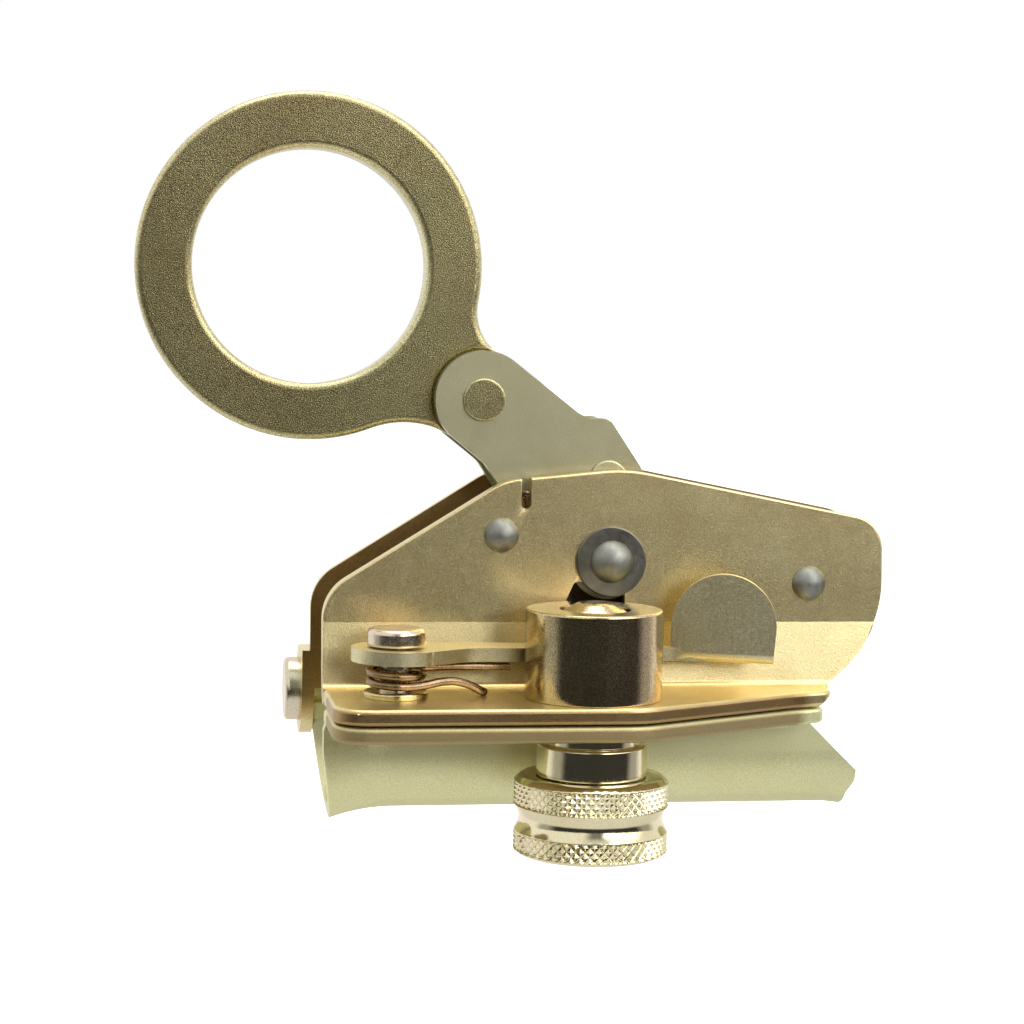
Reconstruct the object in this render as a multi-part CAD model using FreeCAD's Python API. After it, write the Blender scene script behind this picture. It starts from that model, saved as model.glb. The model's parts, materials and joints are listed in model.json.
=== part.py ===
"""Openable cam rope grab for a 16 mm rope: one STEP file per separate piece.

Frame: the origin is on the rope's axis, midway between the side plates. +X runs
along the rope, -Y is the side with the latch and the thumb screw, +Z is up.
"""
import FreeCAD, Part
import math
import os

# ---------------------------------------------------------------- driving sizes (mm)
SHEET = 3.0                    # all stamped plates
CHANNEL_R = 9.0                # inside of the rope trough, for a 16 mm rope
PLATE_GAP = 17.0               # between the two side plates
ARM_WIDTH = 14.0               # both links and what is between them
LINK_T = 3.0
RING_T = 7.6                   # thickness of the flat ring
EDGE_BREAK = 0.4               # small rounding on stamped edges
FLANGE_ROUND = 0.9             # the two flanges' edges are rounder

BODY_LEFT = -50.2
BODY_RIGHT = 58.5
CREASE_Z = 25.1                # above this the front plate is upright
FLANGE_TOP = 13.0
FLANGE_FRONT = -40.4
LOWER_TILT = 8.0               # degrees the front plate leans out below the crease

PIVOT = (4.5, 36.7)            # main pin of the arm, (x, z)
PIVOT_R = 5.0
RING_PIN = (-19.7, 67.0)       # rivet that carries the ring
RING_PIN_R = 4.0
CAM_PIN = (4.6, 52.0)          # rivet that joins links and cam
CAM_PIN_R = 3.7
SPACERS = {"left": (-16.6, 41.6), "right": (43.5, 32.6)}
SPACER_R = 2.5
SPACER_SLEEVE_R = 4.0
SPACER_HEAD_R = 3.35

RING_CENTRE = (-52.7, 91.6)
RING_R = 32.75
RING_HOLE_R = 22.1
RING_EYE_R = 9.0
RING_EDGE = 1.4

SCREW = (-1.4, -26.8)          # thumb screw axis, (x, y)
SCREW_R = 6.0
BOSS_R = 12.75
BOSS_TOP = 29.5
SCREW_REACH = 3.6              # how far the screw's tip leans out as the gate opens
COLLAR_R = 10.2
KNOB_R = 14.35
KNOB_TOP = -1.4
KNOB_BOTTOM = -15.9

SHELL_GAP = 0.3                # between the housing's flange and the trough's
SHELL_LEFT = -50.0
SHELL_RIGHT = 54.0
FLARE = 2.9                    # bell mouth at the left end
FLARE_LENGTH = 14.0

HINGE = (18.0, 8.2)            # gate hinge axis, (y, z)
HINGE_PIN_R = 3.0
HINGE_BARREL_R = 5.0
HINGE_EAR_R = 8.8
HINGE_EAR_T = 2.4
HINGE_RIGHT = 44.3             # right end of the hinge barrel

LATCH = (-37.7, -24.5)         # latch rivet, (x, y)
LATCH_R = 3.0
LATCH_EYE_R = 8.3
LEVER_BOTTOM = 19.6            # at the eye; the spring holds the lever a little nose-down
LEVER_T = 2.5
LEVER_TILT = 1.0               # degrees

RUN = 0.06                     # running clearance of pins, on the radius
PLATE_IN = PLATE_GAP / 2
PLATE_OUT = PLATE_IN + SHEET
ARM_OUT = ARM_WIDTH / 2
ARM_IN = ARM_OUT - LINK_T
FLANGE_BOTTOM = FLANGE_TOP - SHEET
SHELL_TOP = FLANGE_BOTTOM - SHELL_GAP
SHELL_R = CHANNEL_R + SHEET
TILT_OUT = (CREASE_Z - FLANGE_TOP) * math.tan(math.radians(LOWER_TILT))

X = FreeCAD.Vector(1, 0, 0)
Y = FreeCAD.Vector(0, 1, 0)
Z = FreeCAD.Vector(0, 0, 1)
nodes = {}


# ---------------------------------------------------------------- helpers
def vec(x, y, z):
    return FreeCAD.Vector(x, y, z)


def in_xz(y):
    return lambda u, v: vec(u, y, v)


def in_xy(z):
    return lambda u, v: vec(u, v, z)


def in_yz(x):
    return lambda u, v: vec(x, u, v)


def rounded_edges(points, place, closed=True):
    """Edges through (u, v, corner radius) points, with arcs at the corners."""
    count = len(points)
    runs = []
    for i in range(count):
        u, v, radius = points[i]
        before = points[i - 1]
        after = points[(i + 1) % count]
        a = FreeCAD.Vector(before[0] - u, before[1] - v, 0).normalize()
        b = FreeCAD.Vector(after[0] - u, after[1] - v, 0).normalize()
        corner = FreeCAD.Vector(u, v, 0)
        half = a.getAngle(b) / 2
        if radius <= 0:
            runs.append((corner, None, corner))
            continue
        back = radius / math.tan(half)
        middle = corner + (a + b).normalize() * (radius / math.sin(half) - radius)
        runs.append((corner + a * back, middle, corner + b * back))
    edges = []
    for i in range(count):
        start, middle, end = runs[i]
        if middle is not None:
            arc = Part.Arc(place(start.x, start.y), place(middle.x, middle.y), place(end.x, end.y))
            edges.append(arc.toShape())
        following = runs[(i + 1) % count][0]
        last = i == count - 1 and not closed
        if end.distanceToPoint(following) > 1e-6 and not last:
            edges.append(Part.makeLine(place(end.x, end.y), place(following.x, following.y)))
    return edges


def rounded_face(points, place):
    return Part.Face(Part.Wire(rounded_edges(points, place)))


def prism(points, place, along):
    return rounded_face(points, place).extrude(along)


def box(x0, x1, y0, y1, z0, z1):
    return Part.makeBox(x1 - x0, y1 - y0, z1 - z0, vec(x0, y0, z0))


def rod_y(centre, radius, y0, y1):
    return Part.makeCylinder(radius, y1 - y0, vec(centre[0], y0, centre[1]), Y)


def rod_z(centre, radius, z0, z1):
    return Part.makeCylinder(radius, z1 - z0, vec(centre[0], centre[1], z0), Z)


def rod_x(centre, radius, x0, x1):
    return Part.makeCylinder(radius, x1 - x0, vec(x0, centre[0], centre[1]), X)


def dome(centre, direction, radius, height):
    """A shallow round rivet head that stands on centre and swells along direction."""
    ball_r = (radius * radius + height * height) / (2 * height)
    ball = Part.makeSphere(ball_r, centre + direction * (height - ball_r))
    return ball.common(Part.makeCylinder(radius + 0.01, height, centre, direction))


def soften(shape, radius, test):
    """Round the edges that pass the test."""
    edges = [edge for edge in shape.Edges if test(edge)]
    return shape.makeFillet(radius, edges)


def lies_at(value, axis):
    """A test: the whole edge lies in the plane where the axis has this value."""
    def test(edge):
        limits = {"x": (edge.BoundBox.XMin, edge.BoundBox.XMax),
                  "y": (edge.BoundBox.YMin, edge.BoundBox.YMax),
                  "z": (edge.BoundBox.ZMin, edge.BoundBox.ZMax)}[axis]
        return abs(limits[0] - value) < 1e-3 and abs(limits[1] - value) < 1e-3
    return test


def add(name, shape):
    nodes[name] = shape.removeSplitter()


# ---------------------------------------------------------------- housing plates
def plate_outline(bottom, wider=0.0):
    """The side plates' outline, (x, z, corner radius), down to the given height."""
    left = BODY_LEFT - wider
    diagonal_x = 45.3 + (bottom - 11.4) * 1.18
    return [(left, bottom, 0), (left, 30.6, 9.0), (-16.0, 51.9 + wider, 12.0), (7.5, 54.3, 30.0),
            (58.0, 44.6, 6.5), (BODY_RIGHT, 22.6, 22.0), (diagonal_x, bottom, 0)]


def flange_plan(front, x_end, x_taper):
    """Plan of both flanges, (x, y, corner radius)."""
    return [(BODY_LEFT, -8.0, 0), (BODY_LEFT, front, 6.5), (6.0, front, 14.0),
            (x_taper, -23.2, 12.0), (x_end, -20.0, 3.0), (x_end, -8.0, 0)]


def plate_holes(shape, y0, y1):
    shape = shape.cut(rod_y(PIVOT, PIVOT_R, y0, y1))
    for centre in SPACERS.values():
        shape = shape.cut(rod_y(centre, SPACER_R, y0, y1))
    return shape


def screw_slot(radius, reach, z0, z1):
    """A hole for the screw, lengthened towards the front by reach."""
    x, y = SCREW
    back = rod_z((x, y), radius, z0, z1)
    front = rod_z((x, y - reach), radius, z0, z1)
    middle = box(x - radius, x + radius, y - reach, y, z0, z1)
    return back.fuse([front, middle])


def stamped_plate(bottom, y_hidden, y_shown, wider=0.0):
    """An upright side plate whose shown face has softened edges, but for its bottom edge."""
    thick = y_shown - y_hidden
    shape = prism(plate_outline(bottom, wider), in_xz(y_hidden), Y * thick)
    shown = lies_at(y_shown, "y")
    return soften(shape, EDGE_BREAK, lambda e: shown(e) and not lies_at(bottom, "z")(e))


def flange_slab(front, x_end, x_taper, z0):
    """A flange of one sheet's thickness with its top and bottom edges rounded."""
    slab = prism(flange_plan(front, x_end, x_taper), in_xy(z0), Z * SHEET)
    return soften(slab, FLANGE_ROUND, lambda e: (lies_at(z0, "z")(e) or lies_at(z0 + SHEET, "z")(e))
                  and not lies_at(-8.0, "y")(e))


def make_front_plate():
    y_in = -PLATE_IN
    y_out = -PLATE_OUT
    section = [(y_in, CREASE_Z, 0), (y_in - TILT_OUT, FLANGE_BOTTOM, 4.2),
               (FLANGE_FRONT, FLANGE_BOTTOM, 0), (FLANGE_FRONT, FLANGE_TOP, 0),
               (y_out - TILT_OUT, FLANGE_TOP, 1.2), (y_out, CREASE_Z, 0)]
    bent = prism(section, in_yz(BODY_LEFT), X * (BODY_RIGHT - BODY_LEFT))
    skirt = prism(plate_outline(FLANGE_BOTTOM - 1.0), in_xz(-60.0), Y * 60.0)
    plan = flange_slab(FLANGE_FRONT, 46.5, 38.0, FLANGE_BOTTOM)
    wall = box(BODY_LEFT, BODY_RIGHT, -15.0, 0.0, FLANGE_BOTTOM, CREASE_Z)
    lower = bent.common(skirt).common(plan.fuse(wall))
    upper = stamped_plate(FLANGE_TOP, y_in, y_out)
    shape = lower.fuse(upper.common(box(-80, 80, -20, 0, CREASE_Z, 60)))
    shape = plate_holes(shape, -20.0, 0.0)
    notch = [(-12.9, 46.6, 0.9), (-11.0, 46.6, 0.9), (-11.0, 56.0, 0), (-12.9, 56.0, 0)]
    shape = shape.cut(prism(notch, in_xz(-20.0), Y * 20.0))
    window = [(-5.2, 26.6, 1.0), (7.4, 26.6, 1.0), (7.4, 32.8, 1.0), (-2.4, 32.8, 1.0)]
    shape = shape.cut(prism(window, in_xz(-20.0), Y * 20.0))
    shape = shape.cut(screw_slot(SCREW_R + 1.3, SCREW_REACH, FLANGE_BOTTOM - 1, FLANGE_TOP + 1))
    add("front_plate", shape.cut(rod_z(LATCH, LATCH_R, FLANGE_BOTTOM - 1, FLANGE_TOP + 1)))


def hinge_ear(x0, radius):
    """An upright ear across the hinge axis, joined to the rear plate's back."""
    y, z = HINGE
    disc = rod_x(HINGE, radius, x0, x0 + HINGE_EAR_T)
    web = box(x0, x0 + HINGE_EAR_T, PLATE_IN, y, z, z + radius)
    return disc.fuse(web).cut(rod_x(HINGE, HINGE_PIN_R, x0 - 1, x0 + HINGE_EAR_T + 1))


def make_rear_plate():
    plate = stamped_plate(FLANGE_BOTTOM - 0.4, PLATE_IN, PLATE_OUT, wider=0.8)
    shape = plate_holes(plate, 0.0, 20.0)
    shape = shape.fuse(hinge_ear(BODY_LEFT - HINGE_EAR_T + 0.1, HINGE_EAR_R))
    shape = shape.fuse(hinge_ear(HINGE_RIGHT + 0.3, HINGE_BARREL_R + 0.8))
    add("rear_plate", shape)


# ---------------------------------------------------------------- rivets and washers
def cross_rivet(centre, radius, head_r, head_h, y_head):
    """A rivet across the housing with a dome at each end."""
    x, z = centre
    shape = rod_y(centre, radius, -y_head, y_head)
    shape = shape.fuse(dome(vec(x, -y_head, z), -Y, head_r, head_h))
    return shape.fuse(dome(vec(x, y_head, z), Y, head_r, head_h))


def flush_rivet(centre, radius, head_r):
    """A rivet through the arm whose heads are low discs with a broken edge."""
    head_h = 0.8
    shape = rod_y(centre, radius, -ARM_OUT, ARM_OUT)
    for side in (-1, 1):
        head = Part.makeCylinder(head_r, head_h, vec(centre[0], side * ARM_OUT, centre[1]), Y * side)
        head = soften(head, 0.35, lies_at(side * (ARM_OUT + head_h), "y"))
        shape = shape.fuse(head)
    return shape


def ring_of(make, centre, outer, inner, start, end):
    return make(centre, outer, start, end).cut(make(centre, inner, start - 1, end + 1))


def make_rivets():
    for side, centre in SPACERS.items():
        add("spacer_rivet_" + side, cross_rivet(centre, SPACER_R, SPACER_HEAD_R, 2.2, PLATE_OUT))
        sleeve = ring_of(rod_y, centre, SPACER_SLEEVE_R, SPACER_R, -PLATE_IN, PLATE_IN)
        add("spacer_sleeve_" + side, sleeve)
    washer_t = 1.0
    neck_r = 3.2
    pin = cross_rivet(PIVOT, neck_r, 4.1, 2.6, PLATE_OUT + washer_t)
    add("pivot_pin", pin.fuse(rod_y(PIVOT, PIVOT_R, -PLATE_OUT, PLATE_OUT)))
    for side, sign in (("front", -1), ("rear", 1)):
        low = min(sign * PLATE_OUT, sign * (PLATE_OUT + washer_t))
        washer = ring_of(rod_y, PIVOT, 6.7, neck_r, low, low + washer_t)
        washer = soften(washer, 0.3, lambda e: lies_at(sign * (PLATE_OUT + washer_t), "y")(e)
                        and e.Length > 40)
        add("pivot_washer_" + side, washer)
        inner = min(sign * (ARM_OUT + 0.1), sign * (PLATE_IN - 0.1))
        thin = PLATE_IN - ARM_OUT - 0.2
        add("side_washer_" + side, ring_of(rod_y, PIVOT, 7.6, PIVOT_R + RUN, inner, inner + thin))


# ---------------------------------------------------------------- arm
def make_link(name, y0, y1):
    body = [(-14.3, 74.6, 0), (-1.5, 64.7, 3.0), (0.6, 63.7, 2.0), (4.6, 63.7, 2.0),
            (11.0, 54.3, 8.0), (14.6, 46.0, 4.0), (14.0, 36.7, 0), (-5.0, 36.0, 0),
            (-11.5, 43.0, 3.0), (-16.5, 50.6, 4.0), (-19.3, 54.8, 4.0), (-26.1, 60.2, 0)]
    shape = prism(body, in_xz(y0), Y * (y1 - y0))
    shape = shape.fuse([rod_y(RING_PIN, 9.3, y0, y1), rod_y(PIVOT, 9.5, y0, y1)])
    for centre, radius in ((RING_PIN, RING_PIN_R), (PIVOT, PIVOT_R + 1.0), (CAM_PIN, CAM_PIN_R)):
        shape = shape.cut(rod_y(centre, radius, y0 - 1, y1 + 1))
    add(name, shape)


def make_cam():
    """Hub, tail to the cam rivet, and a toothed foot whose radius grows to the right."""
    low_angle = -14
    high_angle = 58
    teeth = 15
    hub = 9.2
    x, z = PIVOT
    rim = []
    for i in range(2 * teeth + 1):
        angle = low_angle + (high_angle - low_angle) * i / (2 * teeth)
        radius = 24.4 + 6.6 * (angle - low_angle) / (high_angle - low_angle)
        radius -= 1.3 * (i % 2)
        turn = math.radians(angle)
        rim.append((x + radius * math.sin(turn), z - radius * math.cos(turn), 0))
    foot = [(x - hub + 0.6, z, 0)] + rim + [(x + hub, z + 1.0, 0)]
    shape = prism(foot, in_xz(-ARM_IN), Y * 2 * ARM_IN)
    tail = [(x - 7.0, z, 0), (x + 7.0, z, 0), (CAM_PIN[0] + 6.6, CAM_PIN[1], 0),
            (CAM_PIN[0] - 6.6, CAM_PIN[1], 0)]
    shape = shape.fuse([prism(tail, in_xz(-ARM_IN), Y * 2 * ARM_IN),
                        rod_y(PIVOT, hub, -ARM_IN, ARM_IN), rod_y(CAM_PIN, 6.6, -ARM_IN, ARM_IN)])
    shape = shape.cut(rod_y(PIVOT, PIVOT_R + 1.0, -20, 20)).cut(rod_y(CAM_PIN, CAM_PIN_R, -20, 20))
    add("cam", shape)


def make_arm():
    make_link("link_front", -ARM_OUT, -ARM_IN)
    make_link("link_rear", ARM_IN, ARM_OUT)
    make_cam()
    add("arm_bush", ring_of(rod_y, PIVOT, PIVOT_R + 1.0, PIVOT_R + RUN, -ARM_OUT, ARM_OUT))
    add("cam_rivet", flush_rivet(CAM_PIN, CAM_PIN_R, CAM_PIN_R))
    add("ring_rivet", flush_rivet(RING_PIN, RING_PIN_R, RING_PIN_R))


def make_arm_spring():
    """A hairpin wire spring in the gap between link and front plate.

    It passes under the main pin. One end is bent forward into the front plate's notch.
    """
    wire_r = 0.5
    reach = 9.2
    bend = 1.2
    y = -(ARM_OUT + PLATE_IN) / 2
    x, z = PIVOT
    notch_x = -11.95
    hook_z = 49.5
    leg_top = hook_z - bend
    knee = bend * (1 - math.sqrt(0.5))
    route = [(notch_x, leg_top, 0), (notch_x, 45.0, 3.0), (x - reach, z - reach, 8.0),
             (x + reach, z - reach, 9.0), (x + reach, z + 5.0, 0)]
    hook = [Part.makeLine(vec(notch_x, -PLATE_OUT, hook_z), vec(notch_x, y - bend, hook_z)),
            Part.Arc(vec(notch_x, y - bend, hook_z), vec(notch_x, y - knee, hook_z - knee),
                     vec(notch_x, y, leg_top)).toShape()]
    path = Part.Wire(hook + rounded_edges(route, in_xz(y), closed=False))
    section = Part.Wire([Part.makeCircle(wire_r, vec(notch_x, -PLATE_OUT, hook_z), Y)])
    add("arm_spring", path.makePipeShell([section], True, True))


# ---------------------------------------------------------------- ring
def fillet_between(centre_a, radius_a, centre_b, radius_b, fillet_r, side):
    """Centre and touch points of a concave arc between two circles."""
    ax, az = centre_a
    bx, bz = centre_b
    span = math.hypot(bx - ax, bz - az)
    heading = math.atan2(bz - az, bx - ax)
    reach_a = radius_a + fillet_r
    reach_b = radius_b + fillet_r
    opening = math.acos((reach_a ** 2 + span ** 2 - reach_b ** 2) / (2 * reach_a * span))
    angle = heading + side * opening
    cx = ax + reach_a * math.cos(angle)
    cz = az + reach_a * math.sin(angle)
    touch_a = (ax + radius_a * math.cos(angle), az + radius_a * math.sin(angle))
    back = math.atan2(cz - bz, cx - bx)
    touch_b = (bx + radius_b * math.cos(back), bz + radius_b * math.sin(back))
    return (cx, cz), touch_a, touch_b


def arc_edge(centre, start, end, radius, y, far=False):
    """An arc about centre from start to end, the short way or the far way round."""
    a0 = math.atan2(start[1] - centre[1], start[0] - centre[0])
    a1 = math.atan2(end[1] - centre[1], end[0] - centre[0])
    turn = (a1 - a0 + math.pi) % (2 * math.pi) - math.pi
    if far:
        turn -= math.copysign(2 * math.pi, turn)
    middle = a0 + turn / 2
    mid = vec(centre[0] + radius * math.cos(middle), y, centre[1] + radius * math.sin(middle))
    return Part.Arc(vec(start[0], y, start[1]), mid, vec(end[0], y, end[1])).toShape()


def make_ring():
    y = -RING_T / 2
    upper_r = 10.0
    lower_r = 18.0
    upper, ring_up, eye_up = fillet_between(RING_CENTRE, RING_R, RING_PIN, RING_EYE_R, upper_r, 1)
    lower, ring_low, eye_low = fillet_between(RING_CENTRE, RING_R, RING_PIN, RING_EYE_R, lower_r, -1)
    wire = Part.Wire([
        arc_edge(RING_CENTRE, ring_up, ring_low, RING_R, y, far=True),
        arc_edge(lower, ring_low, eye_low, lower_r, y),
        arc_edge(RING_PIN, eye_low, eye_up, RING_EYE_R, y),
        arc_edge(upper, eye_up, ring_up, upper_r, y)])
    shape = Part.Face(wire).extrude(Y * RING_T)
    shape = shape.cut(rod_y(RING_CENTRE, RING_HOLE_R, -20, 20))
    shape = soften(shape, RING_EDGE, lambda e: lies_at(y, "y")(e) or lies_at(-y, "y")(e))
    add("anchor_ring", shape.cut(rod_y(RING_PIN, RING_PIN_R + RUN, -20, 20)))


# ---------------------------------------------------------------- gate
def trough_face():
    """Wall of the trough in the XY plane, with the bell mouth at its left end."""
    x0 = SHELL_LEFT
    x1 = SHELL_LEFT + FLARE_LENGTH
    x2 = SHELL_RIGHT - 4.0
    lip = 0.5
    r0 = CHANNEL_R
    r1 = SHELL_R

    def bell(radius):
        start = vec(x0, -radius - FLARE, 0)
        bow = vec(x0 + FLARE_LENGTH * 0.45, -radius - FLARE * 0.31, 0)
        return Part.Arc(start, bow, vec(x1, -radius, 0)).toShape()
    edges = [bell(r0), Part.makeLine(vec(x1, -r0, 0), vec(x2, -r0, 0)),
             Part.makeLine(vec(x2, -r0, 0), vec(SHELL_RIGHT, -r0 - lip, 0)),
             Part.makeLine(vec(SHELL_RIGHT, -r0 - lip, 0), vec(SHELL_RIGHT, -r1 - lip, 0)),
             Part.makeLine(vec(SHELL_RIGHT, -r1 - lip, 0), vec(x2, -r1, 0)),
             Part.makeLine(vec(x2, -r1, 0), vec(x1, -r1, 0)), bell(r1),
             Part.makeLine(vec(x0, -r1 - FLARE, 0), vec(x0, -r0 - FLARE, 0))]
    return Part.Face(Part.Wire(Part.sortEdges(edges)[0]))


def make_rope_shell():
    face = trough_face()
    front_height = SHELL_TOP
    rear_height = HINGE[1] - HINGE_BARREL_R + SHEET
    half = face.revolve(vec(0, 0, 0), X, 180)
    front = face.extrude(Z * front_height)
    rear = face.mirror(vec(0, 0, 0), Y).extrude(Z * rear_height)
    plan = flange_slab(FLANGE_FRONT, 45.0, 37.5, SHELL_TOP - SHEET)
    plan = plan.cut(box(-80, 80, -CHANNEL_R - 1.0, 0, 0, 20))
    fillet_r = 2.6
    corner = box(BODY_LEFT, 40.0, -SHELL_R - fillet_r, -SHELL_R,
                 SHELL_TOP - SHEET - fillet_r, SHELL_TOP - SHEET)
    corner = corner.cut(rod_x((-SHELL_R - fillet_r, SHELL_TOP - SHEET - fillet_r), fillet_r, -80, 80))
    shape = half.fuse([front, rear, plan, corner])
    y, z = HINGE
    shape = shape.fuse([rod_x(HINGE, HINGE_BARREL_R, SHELL_LEFT, HINGE_RIGHT),
                        box(SHELL_LEFT, HINGE_RIGHT, SHELL_R - 1.0, y, z - HINGE_BARREL_R, rear_height)])
    shape = shape.cut(rod_x(HINGE, HINGE_PIN_R + RUN, -80, 80))
    keep_clear = box(-80, 80, -CHANNEL_R, CHANNEL_R, 0, 30)
    bell = rod_x((0, 0), CHANNEL_R, -80, 80)
    shape = shape.cut(keep_clear.fuse(bell))
    slope = [(41.0, 12.0, 0), (41.0, 8.7, 3.0), (54.6, -4.6, 2.0), (53.0, -9.0, 2.0),
             (54.2, -20.0, 0), (70.0, -20.0, 0), (70.0, 12.0, 0)]
    shape = shape.cut(prism(slope, in_xz(-17.0), Y * 34.0))
    mouth = [(-60.0, 3.4, 0), (-50.6, 3.4, 0), (-49.0, 8.0, 3.0), (-45.0, 10.5, 0), (-60.0, 10.5, 0)]
    shape = shape.cut(prism(mouth, in_xz(-17.0), Y * 17.0))
    slant = [(-60.0, 1.0, 0), (-50.0, 1.0, 0), (-47.7, -15.0, 0), (-45.6, -30.0, 0), (-60.0, -30.0, 0)]
    shape = shape.cut(prism(slant, in_xz(-17.0), Y * 34.0))
    shape = shape.cut(rod_z(SCREW, SCREW_R + 0.08, -20, 20))
    add("rope_shell", shape)


def make_hinge_pin():
    left = BODY_LEFT - HINGE_EAR_T + 0.1
    right = HINGE_RIGHT + 0.3 + HINGE_EAR_T
    y, z = HINGE
    shank = rod_x(HINGE, HINGE_PIN_R, left, right)
    head = soften(rod_x(HINGE, 6.3, left - 3.0, left), 1.0, lies_at(left - 3.0, "x"))
    shape = shank.fuse([head, dome(vec(right, y, z), X, 4.2, 1.5)])
    add("hinge_pin", shape)


def make_boss():
    x, y = SCREW
    shape = rod_z(SCREW, BOSS_R, FLANGE_TOP, BOSS_TOP)
    shape = soften(shape, 0.5, lies_at(BOSS_TOP, "z"))
    land = BOSS_TOP - 2.0
    shape = shape.cut(screw_slot(SCREW_R + 1.3, SCREW_REACH, FLANGE_TOP - 1, land))
    shape = shape.cut(screw_slot(SCREW_R + 0.4, 1.1, land - 1, BOSS_TOP + 1))
    lever = LEVER_BOTTOM - (x - LATCH[0]) * math.tan(math.radians(LEVER_TILT))
    slot = box(x - 20, x + 20, y + 1.8, y + 20, lever - 0.6, lever + LEVER_T + 0.6)
    add("lock_boss", shape.cut(slot))


def make_thumb_screw():
    x, y = SCREW
    collar_top = 4.6
    collar = ring_of(rod_z, SCREW, COLLAR_R, SCREW_R + RUN, KNOB_TOP + 0.1, collar_top)
    collar = soften(collar, 0.5, lambda e: lies_at(collar_top, "z")(e) and e.Length > 50)
    seat = ring_of(rod_z, SCREW, COLLAR_R - 1.6, SCREW_R + RUN, collar_top - 1, SHELL_TOP - SHEET)
    add("thumb_collar", collar.fuse(seat))

    waist_r = KNOB_R - 1.3
    section = [(SCREW_R, KNOB_TOP, 0), (KNOB_R - 1.0, KNOB_TOP, 0), (KNOB_R, KNOB_TOP - 1.0, 0),
               (KNOB_R, -6.2, 0), (waist_r, -7.6, 1.5), (waist_r, -10.2, 1.5),
               (KNOB_R, -11.4, 0), (KNOB_R, KNOB_BOTTOM + 0.9, 0),
               (KNOB_R - 0.9, KNOB_BOTTOM, 0), (SCREW_R, KNOB_BOTTOM, 0)]
    face = rounded_face([(x + u, v, r) for u, v, r in section], in_xz(y))
    knob = face.revolve(vec(x, y, 0), Z, 360)
    add("thumb_knob", knob)

    groove_z = BOSS_TOP - 3.6
    shank = rod_z(SCREW, SCREW_R, KNOB_BOTTOM, BOSS_TOP - 0.5)
    tip = Part.makeCone(SCREW_R, SCREW_R - 3.0, 1.7, vec(x, y, BOSS_TOP - 0.5), Z)
    shank = shank.fuse(tip).cut(ring_of(rod_z, SCREW, SCREW_R + 1, SCREW_R - 0.8, groove_z, groove_z + 1.2))
    add("screw_shank", shank)
    clip = ring_of(rod_z, SCREW, SCREW_R + 0.9, SCREW_R - 0.8, groove_z, groove_z + 1.2)
    add("captive_ring", clip)


# ---------------------------------------------------------------- latch
def make_latch():
    x, y = LATCH
    z = FLANGE_TOP
    lever_top = LEVER_BOTTOM + LEVER_T
    head_z = lever_top + 0.25
    post = rod_z(LATCH, LATCH_R, FLANGE_BOTTOM, head_z + 0.2)
    head = soften(rod_z(LATCH, 5.4, head_z, head_z + 3.4), 1.1, lies_at(head_z + 3.4, "z"))
    head = soften(head, 0.6, lies_at(head_z, "z"))
    add("latch_rivet", post.fuse(head))
    foot = ring_of(rod_z, LATCH, 6.0, LATCH_R, z, z + 1.2)
    add("latch_base_washer", soften(foot, 0.5, lambda e: lies_at(z + 1.2, "z")(e) and e.Length > 30))

    wire_r = 0.65
    coil_r = 4.9
    pitch = 1.5
    helix = Part.makeHelix(pitch, pitch * 2.5, coil_r)
    start = vec(coil_r, 0, 0)
    section = Part.Wire([Part.makeCircle(wire_r, start, Y)])
    coil = Part.Wire(helix.Edges).makePipeShell([section], True, True)
    coil.translate(vec(x, y, z + 1.2 + wire_r + 0.02))
    nodes["latch_spring"] = coil


def make_latch_lever():
    x, y = LATCH
    bend_x = 15.0
    bar = [(x - 4.0, y - 7.0, 0), (x + 5.0, y - 6.6, 5.0), (-24.0, -24.4, 8.0),
           (-14.0, -23.4, 0), (-1.4, -19.6, 0), (bend_x + 1.0, -19.6, 0),
           (bend_x + 1.0, -16.4, 0), (-20.0, -15.6, 6.0), (x, y + 7.0, 0)]
    shape = prism(bar, in_xy(LEVER_BOTTOM), Z * LEVER_T)
    shape = shape.fuse(rod_z(LATCH, LATCH_EYE_R, LEVER_BOTTOM, LEVER_BOTTOM + LEVER_T))
    shape = shape.cut(rod_z(SCREW, SCREW_R + 0.5, 0, 40)).cut(rod_z(LATCH, LATCH_R + RUN, 0, 40))
    tab_r = 10.2
    tab_top = 36.3
    half_t = LEVER_T / 2
    tab_x = bend_x + tab_r
    outline = [(-tab_r, LEVER_BOTTOM, 0), (-tab_r, tab_top, tab_r * 0.97),
               (tab_r, tab_top, tab_r * 0.97), (tab_r - 1.0, LEVER_BOTTOM, 0)]
    plate = prism(outline, in_xz(-half_t), Y * LEVER_T)
    front_foot = lambda e: lies_at(LEVER_BOTTOM, "z")(e) and lies_at(-half_t, "y")(e)
    plate = soften(plate, 2.0, front_foot)
    plate.rotate(vec(-tab_r, 0, 0), Z, -15.0)
    plate.translate(vec(tab_x, -17.9, 0))
    floor = [(bend_x - 0.4, -19.6, 0), (bend_x - 0.4, -16.4, 0), (tab_x, -18.2, 0),
             (tab_x, -20.0, 0)]
    shape = shape.fuse([plate, prism(floor, in_xy(LEVER_BOTTOM), Z * LEVER_T)])
    shape.rotate(vec(x, y, LEVER_BOTTOM), Y, LEVER_TILT)
    add("latch_lever", shape)


# ---------------------------------------------------------------- build
make_front_plate()
make_rear_plate()
make_rivets()
make_arm()
make_arm_spring()
make_ring()
make_rope_shell()
make_hinge_pin()
make_boss()
make_thumb_screw()
make_latch()
make_latch_lever()

os.makedirs("parts", exist_ok=True)
for name, shape in nodes.items():
    print(name, len(shape.Solids), shape.isValid(), round(shape.Volume, 1))
    shape.exportStep("parts/" + name + ".step")
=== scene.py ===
import json
import math

import bpy
from mathutils import Matrix, Vector


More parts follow.
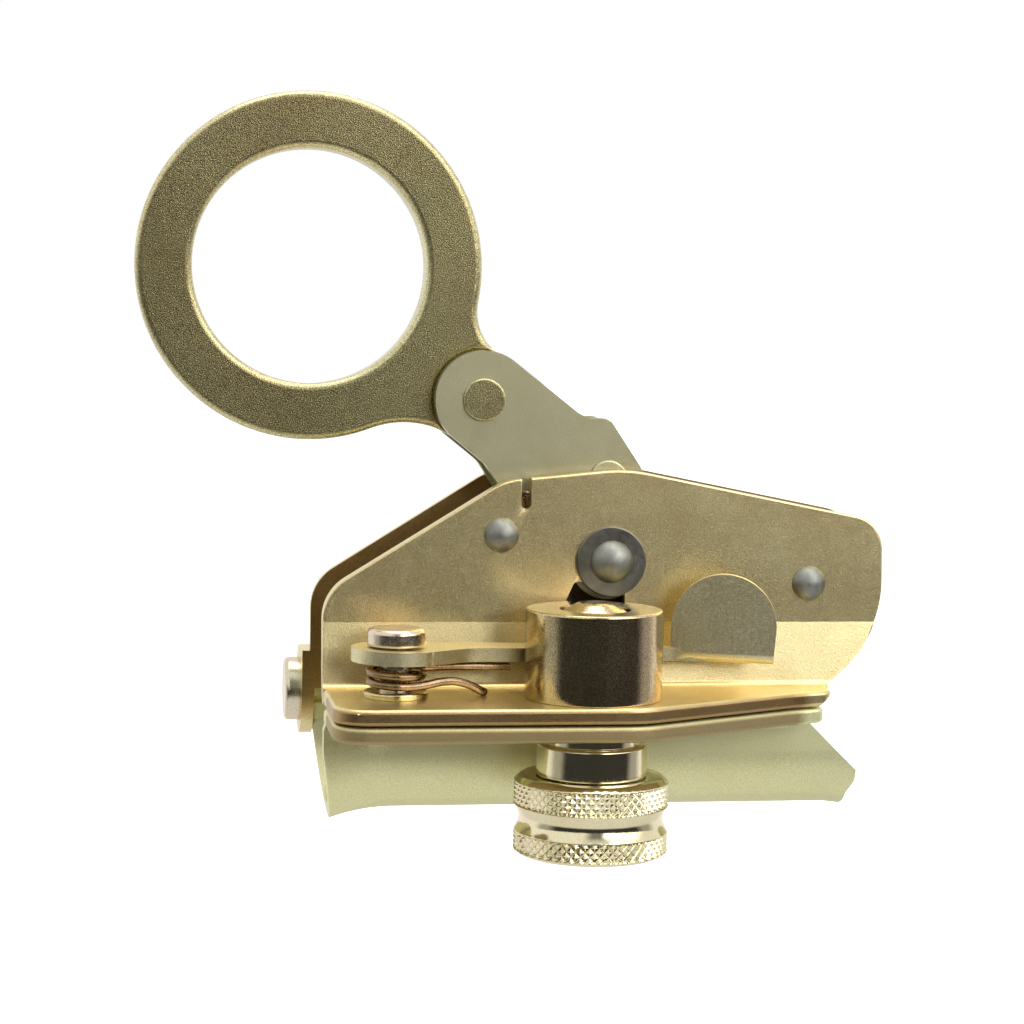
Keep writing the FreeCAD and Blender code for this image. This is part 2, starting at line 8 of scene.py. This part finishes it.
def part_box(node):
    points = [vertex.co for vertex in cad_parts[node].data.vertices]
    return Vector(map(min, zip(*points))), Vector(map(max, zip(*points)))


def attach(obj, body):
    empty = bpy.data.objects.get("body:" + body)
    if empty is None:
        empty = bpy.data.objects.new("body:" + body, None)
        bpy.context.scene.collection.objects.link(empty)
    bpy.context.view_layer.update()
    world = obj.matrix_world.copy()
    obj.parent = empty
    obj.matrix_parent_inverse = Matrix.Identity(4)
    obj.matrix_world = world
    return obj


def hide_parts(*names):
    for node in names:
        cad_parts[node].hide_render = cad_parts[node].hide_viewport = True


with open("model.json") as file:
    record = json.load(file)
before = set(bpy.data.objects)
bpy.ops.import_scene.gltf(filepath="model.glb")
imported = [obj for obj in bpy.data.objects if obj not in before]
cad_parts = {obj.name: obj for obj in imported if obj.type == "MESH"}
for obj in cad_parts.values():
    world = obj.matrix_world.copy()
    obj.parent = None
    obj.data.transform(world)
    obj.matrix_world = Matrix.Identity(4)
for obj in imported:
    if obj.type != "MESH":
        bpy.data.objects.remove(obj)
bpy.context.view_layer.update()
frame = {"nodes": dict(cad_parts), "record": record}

MM = 0.001
nodes = frame["nodes"]


# ---------------------------------------------------------------- camera
CAMERA_AZIMUTH = -9.0          # degrees, from the side with the latch
CAMERA_ELEVATION = 4.4
CAMERA_ROLL = 1.05
CAMERA_DISTANCE = 0.4533
CAMERA_LENS = 84.4             # mm on a 36 mm sensor


def make_camera():
    plate_low, plate_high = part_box("front_plate")
    face_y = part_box("spacer_rivet_left")[0].y + 2.2 * MM
    target = Vector((plate_low.x + 35.5 * MM, face_y, plate_high.z - 8.0 * MM))
    azimuth = math.radians(CAMERA_AZIMUTH)
    elevation = math.radians(CAMERA_ELEVATION)
    back = Vector((math.sin(azimuth) * math.cos(elevation),
                   -math.cos(azimuth) * math.cos(elevation), math.sin(elevation)))
    data = bpy.data.cameras.new("camera")
    data.lens = CAMERA_LENS
    data.sensor_width = 36.0
    data.clip_start = 0.01
    data.clip_end = 50.0
    camera = bpy.data.objects.new("camera", data)
    bpy.context.scene.collection.objects.link(camera)
    camera.rotation_mode = "QUATERNION"
    camera.location = target + back * CAMERA_DISTANCE
    roll = Matrix.Rotation(math.radians(CAMERA_ROLL), 3, "Z").to_quaternion()
    camera.rotation_quaternion = (-back).to_track_quat("-Z", "Y") @ roll
    bpy.context.scene.camera = camera


# ---------------------------------------------------------------- node trees
class Tree:
    """Small helper that builds a material's node tree."""

    def __init__(self, name):
        self.material = bpy.data.materials.new(name)
        self.material.use_nodes = True
        self.tree = self.material.node_tree
        self.shader = self.tree.nodes["Principled BSDF"]
        coordinates = self.node("ShaderNodeTexCoord")
        self.place = coordinates.outputs["Object"]
        self.facing = coordinates.outputs["Normal"]

    def node(self, kind, **values):
        made = self.tree.nodes.new(kind)
        for key, value in values.items():
            setattr(made, key, value)
        return made

    def link(self, output, socket):
        self.tree.links.new(output, socket)

    def noise(self, scale, detail=3.0, rough=0.5, place=None):
        made = self.node("ShaderNodeTexNoise")
        made.inputs["Scale"].default_value = scale
        made.inputs["Detail"].default_value = detail
        made.inputs["Roughness"].default_value = rough
        self.link(place or self.place, made.inputs["Vector"])
        return made.outputs["Fac"]

    def ramp(self, source, stops):
        made = self.node("ShaderNodeValToRGB")
        ramp = made.color_ramp
        while len(ramp.elements) < len(stops):
            ramp.elements.new(0.5)
        for element, (at, colour) in zip(ramp.elements, stops):
            element.position = at
            element.color = (*colour, 1.0)
        self.link(source, made.inputs["Fac"])
        return made.outputs["Color"]

    def spread(self, source, low, high, from_low=0.3, from_high=0.7):
        made = self.node("ShaderNodeMapRange")
        made.inputs["From Min"].default_value = from_low
        made.inputs["From Max"].default_value = from_high
        made.inputs["To Min"].default_value = low
        made.inputs["To Max"].default_value = high
        self.link(source, made.inputs["Value"])
        return made.outputs["Result"]

    def mix(self, a, b, share, blend="MIX"):
        made = self.node("ShaderNodeMix", data_type="RGBA", blend_type=blend)
        self.link(a, made.inputs[6])
        self.link(b, made.inputs[7])
        if isinstance(share, float):
            made.inputs[0].default_value = share
        else:
            self.link(share, made.inputs[0])
        return made.outputs[2]

    def axes(self, vector):
        """The X, Y and Z outputs of a vector."""
        split = self.node("ShaderNodeSeparateXYZ")
        self.link(vector, split.inputs["Vector"])
        return split.outputs

    def combine(self, a, b, operation):
        made = self.node("ShaderNodeMath", operation=operation)
        self.link(a, made.inputs[0])
        self.link(b, made.inputs[1])
        return made.outputs["Value"]

    def shade(self, colour, amount, at_one, at_zero=(1.0, 1.0, 1.0)):
        """Multiplies colour by at_zero where amount is 0, and by at_one where it is 1."""
        factor = self.ramp(amount, [(0.0, at_zero), (1.0, at_one)])
        return self.mix(colour, factor, 1.0, "MULTIPLY")

    def bump(self, source, strength, distance, before=None):
        made = self.node("ShaderNodeBump")
        made.inputs["Strength"].default_value = strength
        made.inputs["Distance"].default_value = distance
        self.link(source, made.inputs["Height"])
        if before is not None:
            self.link(before, made.inputs["Normal"])
        return made.outputs["Normal"]


WHITE = (1.0, 1.0, 1.0)
INSIDE_SHADE = (0.05, 0.035, 0.02)     # painted shade on the low end of a link, where it sits inside the housing
RIM_BRONZE_AND_SHADE = (0.52, 0.42, 0.36)        # bronze on the flanges' cut edges, partly their own tone and partly painted shade, and painted shade on their undersides
SHADE_BLEND = 4 * MM                   # half the height over which INSIDE_SHADE fades
RIM_BLEND = 0.5 * MM
GRAIN_HEIGHT = 0.06 * MM
BLOTCH_HEIGHT = 0.3 * MM


def zinc(name, dark, light, tint, rough=(0.22, 0.34), grain=4200.0, speckle=0.5,
         grain_bump=0.3, blotch=60.0, tint_share=(0.0, 0.5), dark_below=None,
         face_shade=None, back_too=True, rim_from=None):
    """Chromated zinc plating: blotchy gold, grainy, with patches of an interference tint.

    The last four options give parts of the surface a darker colour. This is painted shade, so in
    other light these parts look darker than evenly plated steel; only the bronze of a flange's cut
    edge is partly its own tone:
    - below the height dark_below, painted shade on the low end of a link, inside the housing;
    - face_shade, painted shade on the flat front face, and on the rear face too if back_too;
    - in front of y = rim_from, every face that doesn't look up: a flange's cut edge, bronze with
      painted shade, and its underside as well, with painted shade only, although only the edge
      should be bronze."""
    t = Tree(name)
    t.shader.inputs["Metallic"].default_value = 1.0
    large = t.noise(blotch, 4.0, 0.55)
    fine = t.noise(grain, 1.0, 0.6)
    patches = t.noise(blotch * 0.45, 2.0, 0.5)
    base = t.ramp(large, [(0.30, dark), (0.70, light)])
    tinted = t.ramp(patches, [(0.35, light), (0.65, tint)])
    colour = t.mix(base, tinted, t.spread(patches, *tint_share))
    low = 1.0 - speckle
    high = 1.0 + speckle * 0.5
    speck = t.ramp(fine, [(0.30, (low, low, low * 0.96)), (0.72, (high, high, high))])
    colour = t.mix(colour, speck, 1.0, "MULTIPLY")
    # painted shade: the low end of a link fades towards INSIDE_SHADE
    if dark_below is not None:
        height = t.spread(t.axes(t.place)["Z"], 0.0, 1.0,
                          dark_below - SHADE_BLEND, dark_below + SHADE_BLEND)
        colour = t.shade(colour, height, WHITE, INSIDE_SHADE)
    # painted shade with bronze: faces in front of rim_from that don't look up are darkened
    if rim_from is not None:
        ahead = t.spread(t.axes(t.place)["Y"], 1.0, 0.0, rim_from - RIM_BLEND, rim_from + RIM_BLEND)
        not_up = t.spread(t.axes(t.facing)["Z"], 1.0, 0.0, 0.35, 0.85)
        colour = t.shade(colour, t.combine(ahead, not_up, "MULTIPLY"), RIM_BRONZE_AND_SHADE)
    # painted shade on the faces that look along y
    if face_shade is not None:
        depth = t.axes(t.facing)["Y"]
        flat = t.spread(depth, 1.0, 0.0, -0.97, -0.80)
        if back_too:
            flat = t.combine(flat, t.spread(depth, 0.0, 1.0, 0.80, 0.97), "ADD")
        colour = t.shade(colour, flat, face_shade)
    t.link(colour, t.shader.inputs["Base Color"])
    t.link(t.spread(t.noise(grain * 0.4, 2.0), *rough), t.shader.inputs["Roughness"])
    normal = t.bump(fine, grain_bump, GRAIN_HEIGHT)
    normal = t.bump(large, 0.2, BLOTCH_HEIGHT, normal)
    t.link(normal, t.shader.inputs["Normal"])
    return t.material


def plain_steel(name, dark, light, rough=(0.3, 0.45)):
    """Dull-plated steel."""
    t = Tree(name)
    t.shader.inputs["Metallic"].default_value = 1.0
    base = t.ramp(t.noise(300.0, 3.0), [(0.35, dark), (0.65, light)])
    t.link(base, t.shader.inputs["Base Color"])
    t.link(t.spread(t.noise(900.0), *rough), t.shader.inputs["Roughness"])
    t.link(t.bump(t.noise(2600.0, 2.0), 0.3, 0.00008), t.shader.inputs["Normal"])
    return t.material


MATERIALS = {}
FLANGE_RIM_Y = -22 * MM                # only the flanges reach in front of this
HOUSING_SHADE_Z = 39 * MM              # 15 mm below the plates' top edge; below it the links get painted shade


def make_materials():
    m = MATERIALS
    plate = {"dark": (0.75, 0.60, 0.30), "light": (0.90, 0.77, 0.42), "tint": (0.78, 0.62, 0.32),
             "rough": (0.29, 0.36), "grain": 4500.0, "speckle": 0.22, "grain_bump": 0.45,
             "blotch": 90.0}
    # the plate's flange gets bronze and painted shade on its cut edge and underside
    m["plate_zinc"] = zinc("plate_zinc", **plate, rim_from=FLANGE_RIM_Y)
    # copy of the plate material with painted shade on the rear plate's front face
    m["rear_zinc_painted_shade"] = zinc("rear_zinc_painted_shade", **plate, face_shade=(0.50, 0.40, 0.31), back_too=False)
    m["lever_zinc"] = zinc("lever_zinc", (0.70, 0.61, 0.35), (0.84, 0.76, 0.48),
                           (0.76, 0.68, 0.44), rough=(0.34, 0.42), grain=4500.0, speckle=0.22,
                           grain_bump=0.4)
    # the links get painted shade on their low end, inside the housing
    m["link_zinc"] = zinc("link_zinc", (0.58, 0.53, 0.32), (0.68, 0.64, 0.41),
                          (0.61, 0.58, 0.37), rough=(0.34, 0.46), grain=6000.0, speckle=0.25,
                          dark_below=HOUSING_SHADE_Z)
    # painted shade on the ring's flat front and rear faces; the ring rivet takes this material too
    m["ring_zinc"] = zinc("ring_zinc", (0.66, 0.55, 0.30), (0.86, 0.78, 0.46),
                          (0.70, 0.69, 0.40), rough=(0.28, 0.36), grain=4200.0, speckle=0.6,
                          grain_bump=1.0, blotch=45.0, face_shade=(0.54, 0.51, 0.44))
    # the shell's flange gets bronze and painted shade on its cut edge and underside
    m["shell_zinc"] = zinc("shell_zinc", (0.80, 0.76, 0.42), (0.87, 0.83, 0.49),
                           (0.78, 0.79, 0.49), rough=(0.46, 0.54), grain=5000.0, speckle=0.18,
                           grain_bump=0.25, rim_from=FLANGE_RIM_Y)
    m["boss_zinc"] = zinc("boss_zinc", (0.56, 0.45, 0.22), (0.76, 0.65, 0.37),
                          (0.78, 0.55, 0.40), rough=(0.12, 0.18), grain=3600.0, speckle=0.35,
                          grain_bump=0.2, blotch=140.0, tint_share=(0.0, 0.7))
    m["knob_zinc"] = zinc("knob_zinc", (0.76, 0.67, 0.42), (0.88, 0.81, 0.56),
                          (0.86, 0.70, 0.52), rough=(0.08, 0.15), speckle=0.1, grain_bump=0.08,
                          blotch=120.0)
    m["copper_zinc"] = zinc("copper_zinc", (0.72, 0.52, 0.38), (0.84, 0.70, 0.54),
                            (0.62, 0.68, 0.50), rough=(0.20, 0.28), speckle=0.15,
                            grain_bump=0.08, blotch=160.0, tint_share=(0.0, 0.9))
    m["spring_wire"] = zinc("spring_wire", (0.20, 0.13, 0.075), (0.38, 0.27, 0.17),
                            (0.42, 0.30, 0.21), rough=(0.20, 0.30), speckle=0.2,
                            grain_bump=0.1, blotch=300.0)
    m["rivet_steel"] = plain_steel("rivet_steel", (0.25, 0.255, 0.225), (0.33, 0.335, 0.295),
                                   rough=(0.44, 0.56))
    m["washer_steel"] = plain_steel("washer_steel", (0.16, 0.155, 0.13), (0.22, 0.215, 0.18),
                                    rough=(0.30, 0.42))
    m["cam_steel"] = plain_steel("cam_steel", (0.16, 0.15, 0.14), (0.26, 0.24, 0.22),
                                 rough=(0.40, 0.55))


# nodes whose material differs from the others in their slot; the rear plate's is a copy of the
# plate's with painted shade on its front face, which faces the front plate
OWN_MATERIAL = {"ring_rivet": "ring_zinc", "rear_plate": "rear_zinc_painted_shade", "latch_lever": "lever_zinc"}


def dress_cad_nodes():
    slot_of = {s["node"]: s["material_slot"] for s in frame["record"]["subparts"]}
    for name, obj in nodes.items():
        obj.data.materials.clear()
        obj.data.materials.append(MATERIALS[slot_of[name]])
    for name, material in OWN_MATERIAL.items():
        nodes[name].data.materials[0] = MATERIALS[material]


# ---------------------------------------------------------------- edges of the CAD pieces
EDGE_ROUND = {"front_plate": 0.3, "rear_plate": 0.3, "link_front": 0.35, "link_rear": 0.35,
              "latch_lever": 0.3, "rope_shell": 0.3, "lock_boss": 0.25}
EDGE_ROUND_OTHERS = 0.15               # mm
EDGE_ANGLE = {"front_plate": 7.0}      # so that the crease across the plate stays crisp
EDGE_ANGLE_OTHERS = 40.0               # degrees
WELD_DISTANCE = 1e-6                   # joins the tessellation's doubled vertices


def round_edges():
    for name, obj in nodes.items():
        for polygon in obj.data.polygons:
            polygon.use_smooth = True
        weld = obj.modifiers.new("weld", "WELD")
        weld.merge_threshold = WELD_DISTANCE
        bevel = obj.modifiers.new("edge", "BEVEL")
        bevel.width = EDGE_ROUND.get(name, EDGE_ROUND_OTHERS) * MM
        bevel.segments = 2
        bevel.limit_method = "ANGLE"
        bevel.angle_limit = math.radians(EDGE_ANGLE.get(name, EDGE_ANGLE_OTHERS))
        bevel.use_clamp_overlap = True
        normals = obj.modifiers.new("normals", "WEIGHTED_NORMAL")
        normals.keep_sharp = True
        normals.weight = 80


# ---------------------------------------------------------------- pieces that replace CAD nodes
def mesh_piece(name, vertices, faces, material, body, node, smooth):
    mesh = bpy.data.meshes.new(name)
    mesh.from_pydata([tuple(v) for v in vertices], [], faces)
    mesh.materials.append(MATERIALS[material])
    for i, polygon in enumerate(mesh.polygons):
        polygon.use_smooth = smooth[i]
    obj = bpy.data.objects.new(name, mesh)
    bpy.context.scene.collection.objects.link(obj)
    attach(obj, body)
    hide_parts(node)


def centre_of(node):
    low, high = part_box(node)
    return (low + high) / 2


KNURL_COUNT = 50               # diamonds around the knob
KNURL_STEPS = 8                # columns per diamond
KNURL_DEPTH = 0.55 * MM


def make_knob():
    """The knob as a body of revolution with two bands of diamond knurling."""
    low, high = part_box("thumb_knob")
    middle = (low + high) / 2
    radius = (high.x - low.x) / 2
    bore = (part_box("screw_shank")[1].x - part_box("screw_shank")[0].x) / 2
    columns = KNURL_COUNT * KNURL_STEPS
    pitch = 2 * math.pi * radius / KNURL_COUNT
    row = pitch / KNURL_STEPS

    # (drop from the top, radius, knurled share) down the side
    profile = [(0.0, bore, 0), (0.0, radius - 1.25 * MM, 0), (0.12 * MM, radius - 0.95 * MM, 0),
               (0.75 * MM, radius - 0.3 * MM, 0)]

    def band(start, end):
        count = max(2, round((end - start) / row))
        for i in range(count + 1):
            share = min(1.0, min(i, count - i) / 1.5 + 0.15)
            profile.append((start + (end - start) * i / count, radius, share))

    waist_start, waist_end = 5.4 * MM, 10.0 * MM
    band(0.95 * MM, waist_start - 0.15 * MM)
    for i in range(13):
        share = i / 12
        dip = 0.15 * MM + 0.8 * MM * math.sin(math.pi * share)
        profile.append((waist_start + (waist_end - waist_start) * share, radius - dip, 0))
    height = high.z - low.z
    band(waist_end + 0.15 * MM, height - 0.8 * MM)
    profile += [(height - 0.62 * MM, radius - 0.35 * MM, 0),
                (height - 0.3 * MM, radius - 0.7 * MM, 0),
                (height - 0.08 * MM, radius - 1.15 * MM, 0),
                (height, radius - 1.7 * MM, 0), (height, bore, 0)]

    vertices = []
    for drop, r, share in profile:
        for c in range(columns):
            around = c / KNURL_STEPS
            cut = 0.0
            if share:
                down = drop / pitch
                a = abs(((around + down) % 1.0) * 2 - 1)
                b = abs(((around - down) % 1.0) * 2 - 1)
                cut = KNURL_DEPTH * (1 - min(1 - a, 1 - b)) * share
            angle = 2 * math.pi * c / columns
            vertices.append((middle.x + (r - cut) * math.cos(angle),
                             middle.y + (r - cut) * math.sin(angle), high.z - drop))
    faces, smooth = [], []
    for i in range(len(profile)):
        j = (i + 1) % len(profile)
        knurled = profile[i][2] > 0 and profile[j][2] > 0
        for c in range(columns):
            d = (c + 1) % columns
            faces.append((j * columns + c, j * columns + d, i * columns + d, i * columns + c))
            smooth.append(not knurled)
    mesh_piece("knurled_knob", vertices, faces, "knob_zinc", "thumb_screw", "thumb_knob", smooth)


WIRE_R = 0.78 * MM


def make_latch_spring():
    """Torsion spring of the latch: coil on the post, one leg under the lever, one on the flange."""
    flange_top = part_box("latch_base_washer")[0].z
    foot_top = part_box("latch_base_washer")[1].z
    eye_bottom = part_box("latch_rivet")[1].z - 6.15 * MM
    post = centre_of("latch_rivet")
    coil_r = 4.9 * MM
    turns = 1.85
    start_angle = math.radians(-68)
    start_z = foot_top + WIRE_R + 0.4 * MM
    end_z = eye_bottom - WIRE_R - 0.1 * MM

    # lower leg: bent tip on the flange, then an arch into the coil
    # (x and y from the post, z above the flange)
    leg = [(16.4, 0.6, 0.7), (15.8, -0.2, 0.9), (14.2, -0.9, 2.0), (11.2, -1.9, 3.1),
           (8.0, -3.0, 3.2), (5.2, -4.1, 2.7)]
    path = [Vector((post.x + x * MM, post.y + y * MM, flange_top + z * MM)) for x, y, z in leg]
    steps = 26
    total = round(turns * steps)
    for i in range(total + 1):
        angle = start_angle - 2 * math.pi * i / steps
        path.append(Vector((post.x + coil_r * math.cos(angle), post.y + coil_r * math.sin(angle),
                            start_z + (end_z - start_z) * i / total)))
    # upper leg: straight, under the lever
    leave = path[-1]
    tangent = Vector((math.sin(angle), -math.cos(angle), 0.0))
    tip = Vector((post.x + 21.4 * MM, post.y + 2.6 * MM, eye_bottom - 1.5 * MM))
    path += [leave + tangent * 1.6 * MM, leave.lerp(tip, 0.35), leave.lerp(tip, 0.7), tip]

    curve = bpy.data.curves.new("latch_torsion_spring", "CURVE")
    curve.dimensions = "3D"
    curve.bevel_depth = WIRE_R
    curve.bevel_resolution = 4
    curve.use_fill_caps = True
    spline = curve.splines.new("NURBS")
    spline.points.add(len(path) - 1)
    for spot, place in zip(spline.points, path):
        spot.co = (*place, 1.0)
    spline.order_u = 3
    spline.use_endpoint_u = True
    curve.materials.append(MATERIALS["spring_wire"])
    obj = bpy.data.objects.new("latch_torsion_spring", curve)
    bpy.context.scene.collection.objects.link(obj)
    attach(obj, "housing")
    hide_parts("latch_spring")


# ---------------------------------------------------------------- stage and light
FLOOR_SIZE = 12.0
FLOOR_Z = -0.075


def make_stage():
    """A pale floor that glows a little and doesn't show in reflections."""
    bpy.ops.mesh.primitive_plane_add(size=FLOOR_SIZE, location=(0, 0, FLOOR_Z))
    floor = bpy.context.object
    floor.name = "floor"
    floor.visible_glossy = False
    t = Tree("floor_white")
    t.shader.inputs["Base Color"].default_value = (0.92, 0.92, 0.92, 1.0)
    t.shader.inputs["Roughness"].default_value = 0.9
    t.shader.inputs["Emission Color"].default_value = (1.0, 1.0, 1.0, 1.0)
    t.shader.inputs["Emission Strength"].default_value = 0.45
    floor.data.materials.append(t.material)


def area_light(name, place, aim, size, power):
    data = bpy.data.lights.new(name, "AREA")
    data.shape = "RECTANGLE"
    data.size = size[0]
    data.size_y = size[1]
    data.energy = power
    light = bpy.data.objects.new(name, data)
    bpy.context.scene.collection.objects.link(light)
    light.location = place
    light.rotation_mode = "QUATERNION"
    light.rotation_quaternion = (Vector(aim) - Vector(place)).to_track_quat("-Z", "Y")


def make_world():
    """A white studio with a dark band on the viewer's side, dimmer in the middle above the
    band, and a brighter softbox at the front right. The camera sees a plain white backdrop."""
    world = bpy.data.worlds.new("studio")
    bpy.context.scene.world = world
    world.use_nodes = True
    tree = world.node_tree
    background = tree.nodes["Background"]
    place = tree.nodes.new("ShaderNodeTexCoord")
    split = tree.nodes.new("ShaderNodeSeparateXYZ")
    tree.links.new(place.outputs["Generated"], split.inputs["Vector"])

    def math_node(kind, a, b):
        made = tree.nodes.new("ShaderNodeMath")
        made.operation = kind
        for socket, value in zip(made.inputs, (a, b)):
            if isinstance(value, float):
                socket.default_value = value
            else:
                tree.links.new(value, socket)
        return made.outputs["Value"]

    def step(value, low, high, to_low=0.0, to_high=1.0):
        made = tree.nodes.new("ShaderNodeMapRange")
        made.interpolation_type = "SMOOTHSTEP"
        made.inputs["From Min"].default_value = low
        made.inputs["From Max"].default_value = high
        made.inputs["To Min"].default_value = to_low
        made.inputs["To Max"].default_value = to_high
        tree.links.new(value, made.inputs["Value"])
        return made.outputs["Result"]

    def times(*values):
        product = values[0]
        for value in values[1:]:
            product = math_node("MULTIPLY", product, value)
        return product

    right = split.outputs["X"]
    behind = split.outputs["Y"]
    up = split.outputs["Z"]
    towards_viewer = times(behind, -1.0)
    band = times(step(up, 0.10, 0.15, 1.0, 0.0), step(up, -0.50, -0.30))
    side = math_node("ADD", step(towards_viewer, 0.12, 0.42, 0.42, 0.04),
                     times(step(behind, 0.02, 0.35), 0.58))
    sideways = math_node("ABSOLUTE", right, 0.0)
    dim_front = times(step(towards_viewer, 0.3, 0.6), step(sideways, 0.12, 0.34, 1.0, 0.0),
                      step(up, 0.0, 0.1), step(up, 0.5, 0.8, 1.0, 0.0), 0.78)
    open_level = times(step(up, -0.25, -0.02, 0.82, 1.0), math_node("SUBTRACT", 1.0, dim_front))
    level = math_node("ADD", times(side, band),
                      times(open_level, math_node("SUBTRACT", 1.0, band)))
    ceiling = times(towards_viewer, step(towards_viewer, 0.1, 0.4),
                    step(up, 0.12, 0.16), step(up, 0.45, 0.65, 1.0, 0.0))
    softbox = times(ceiling, step(right, 0.13, 0.26, 0.0, 3.6))
    lit = math_node("ADD", level, softbox)
    rays = tree.nodes.new("ShaderNodeLightPath")
    seen = rays.outputs["Is Camera Ray"]         # the backdrop itself is plain white
    hidden = times(lit, math_node("SUBTRACT", 1.0, seen))
    tree.links.new(math_node("ADD", hidden, seen), background.inputs["Strength"])
    background.inputs["Color"].default_value = (1.0, 1.0, 1.0, 1.0)


def make_lights():
    centre = (0.0, 0.0, 0.04)
    area_light("key", (0.55, -0.55, 0.95), centre, (0.6, 0.6), 3.0)
    area_light("top", (0.0, 0.1, 1.2), centre, (0.9, 0.9), 6.0)


# ---------------------------------------------------------------- build
make_camera()
make_materials()
dress_cad_nodes()
round_edges()
make_knob()
make_latch_spring()
make_stage()
make_world()
make_lights()
bpy.context.scene.view_settings.view_transform = "Standard"
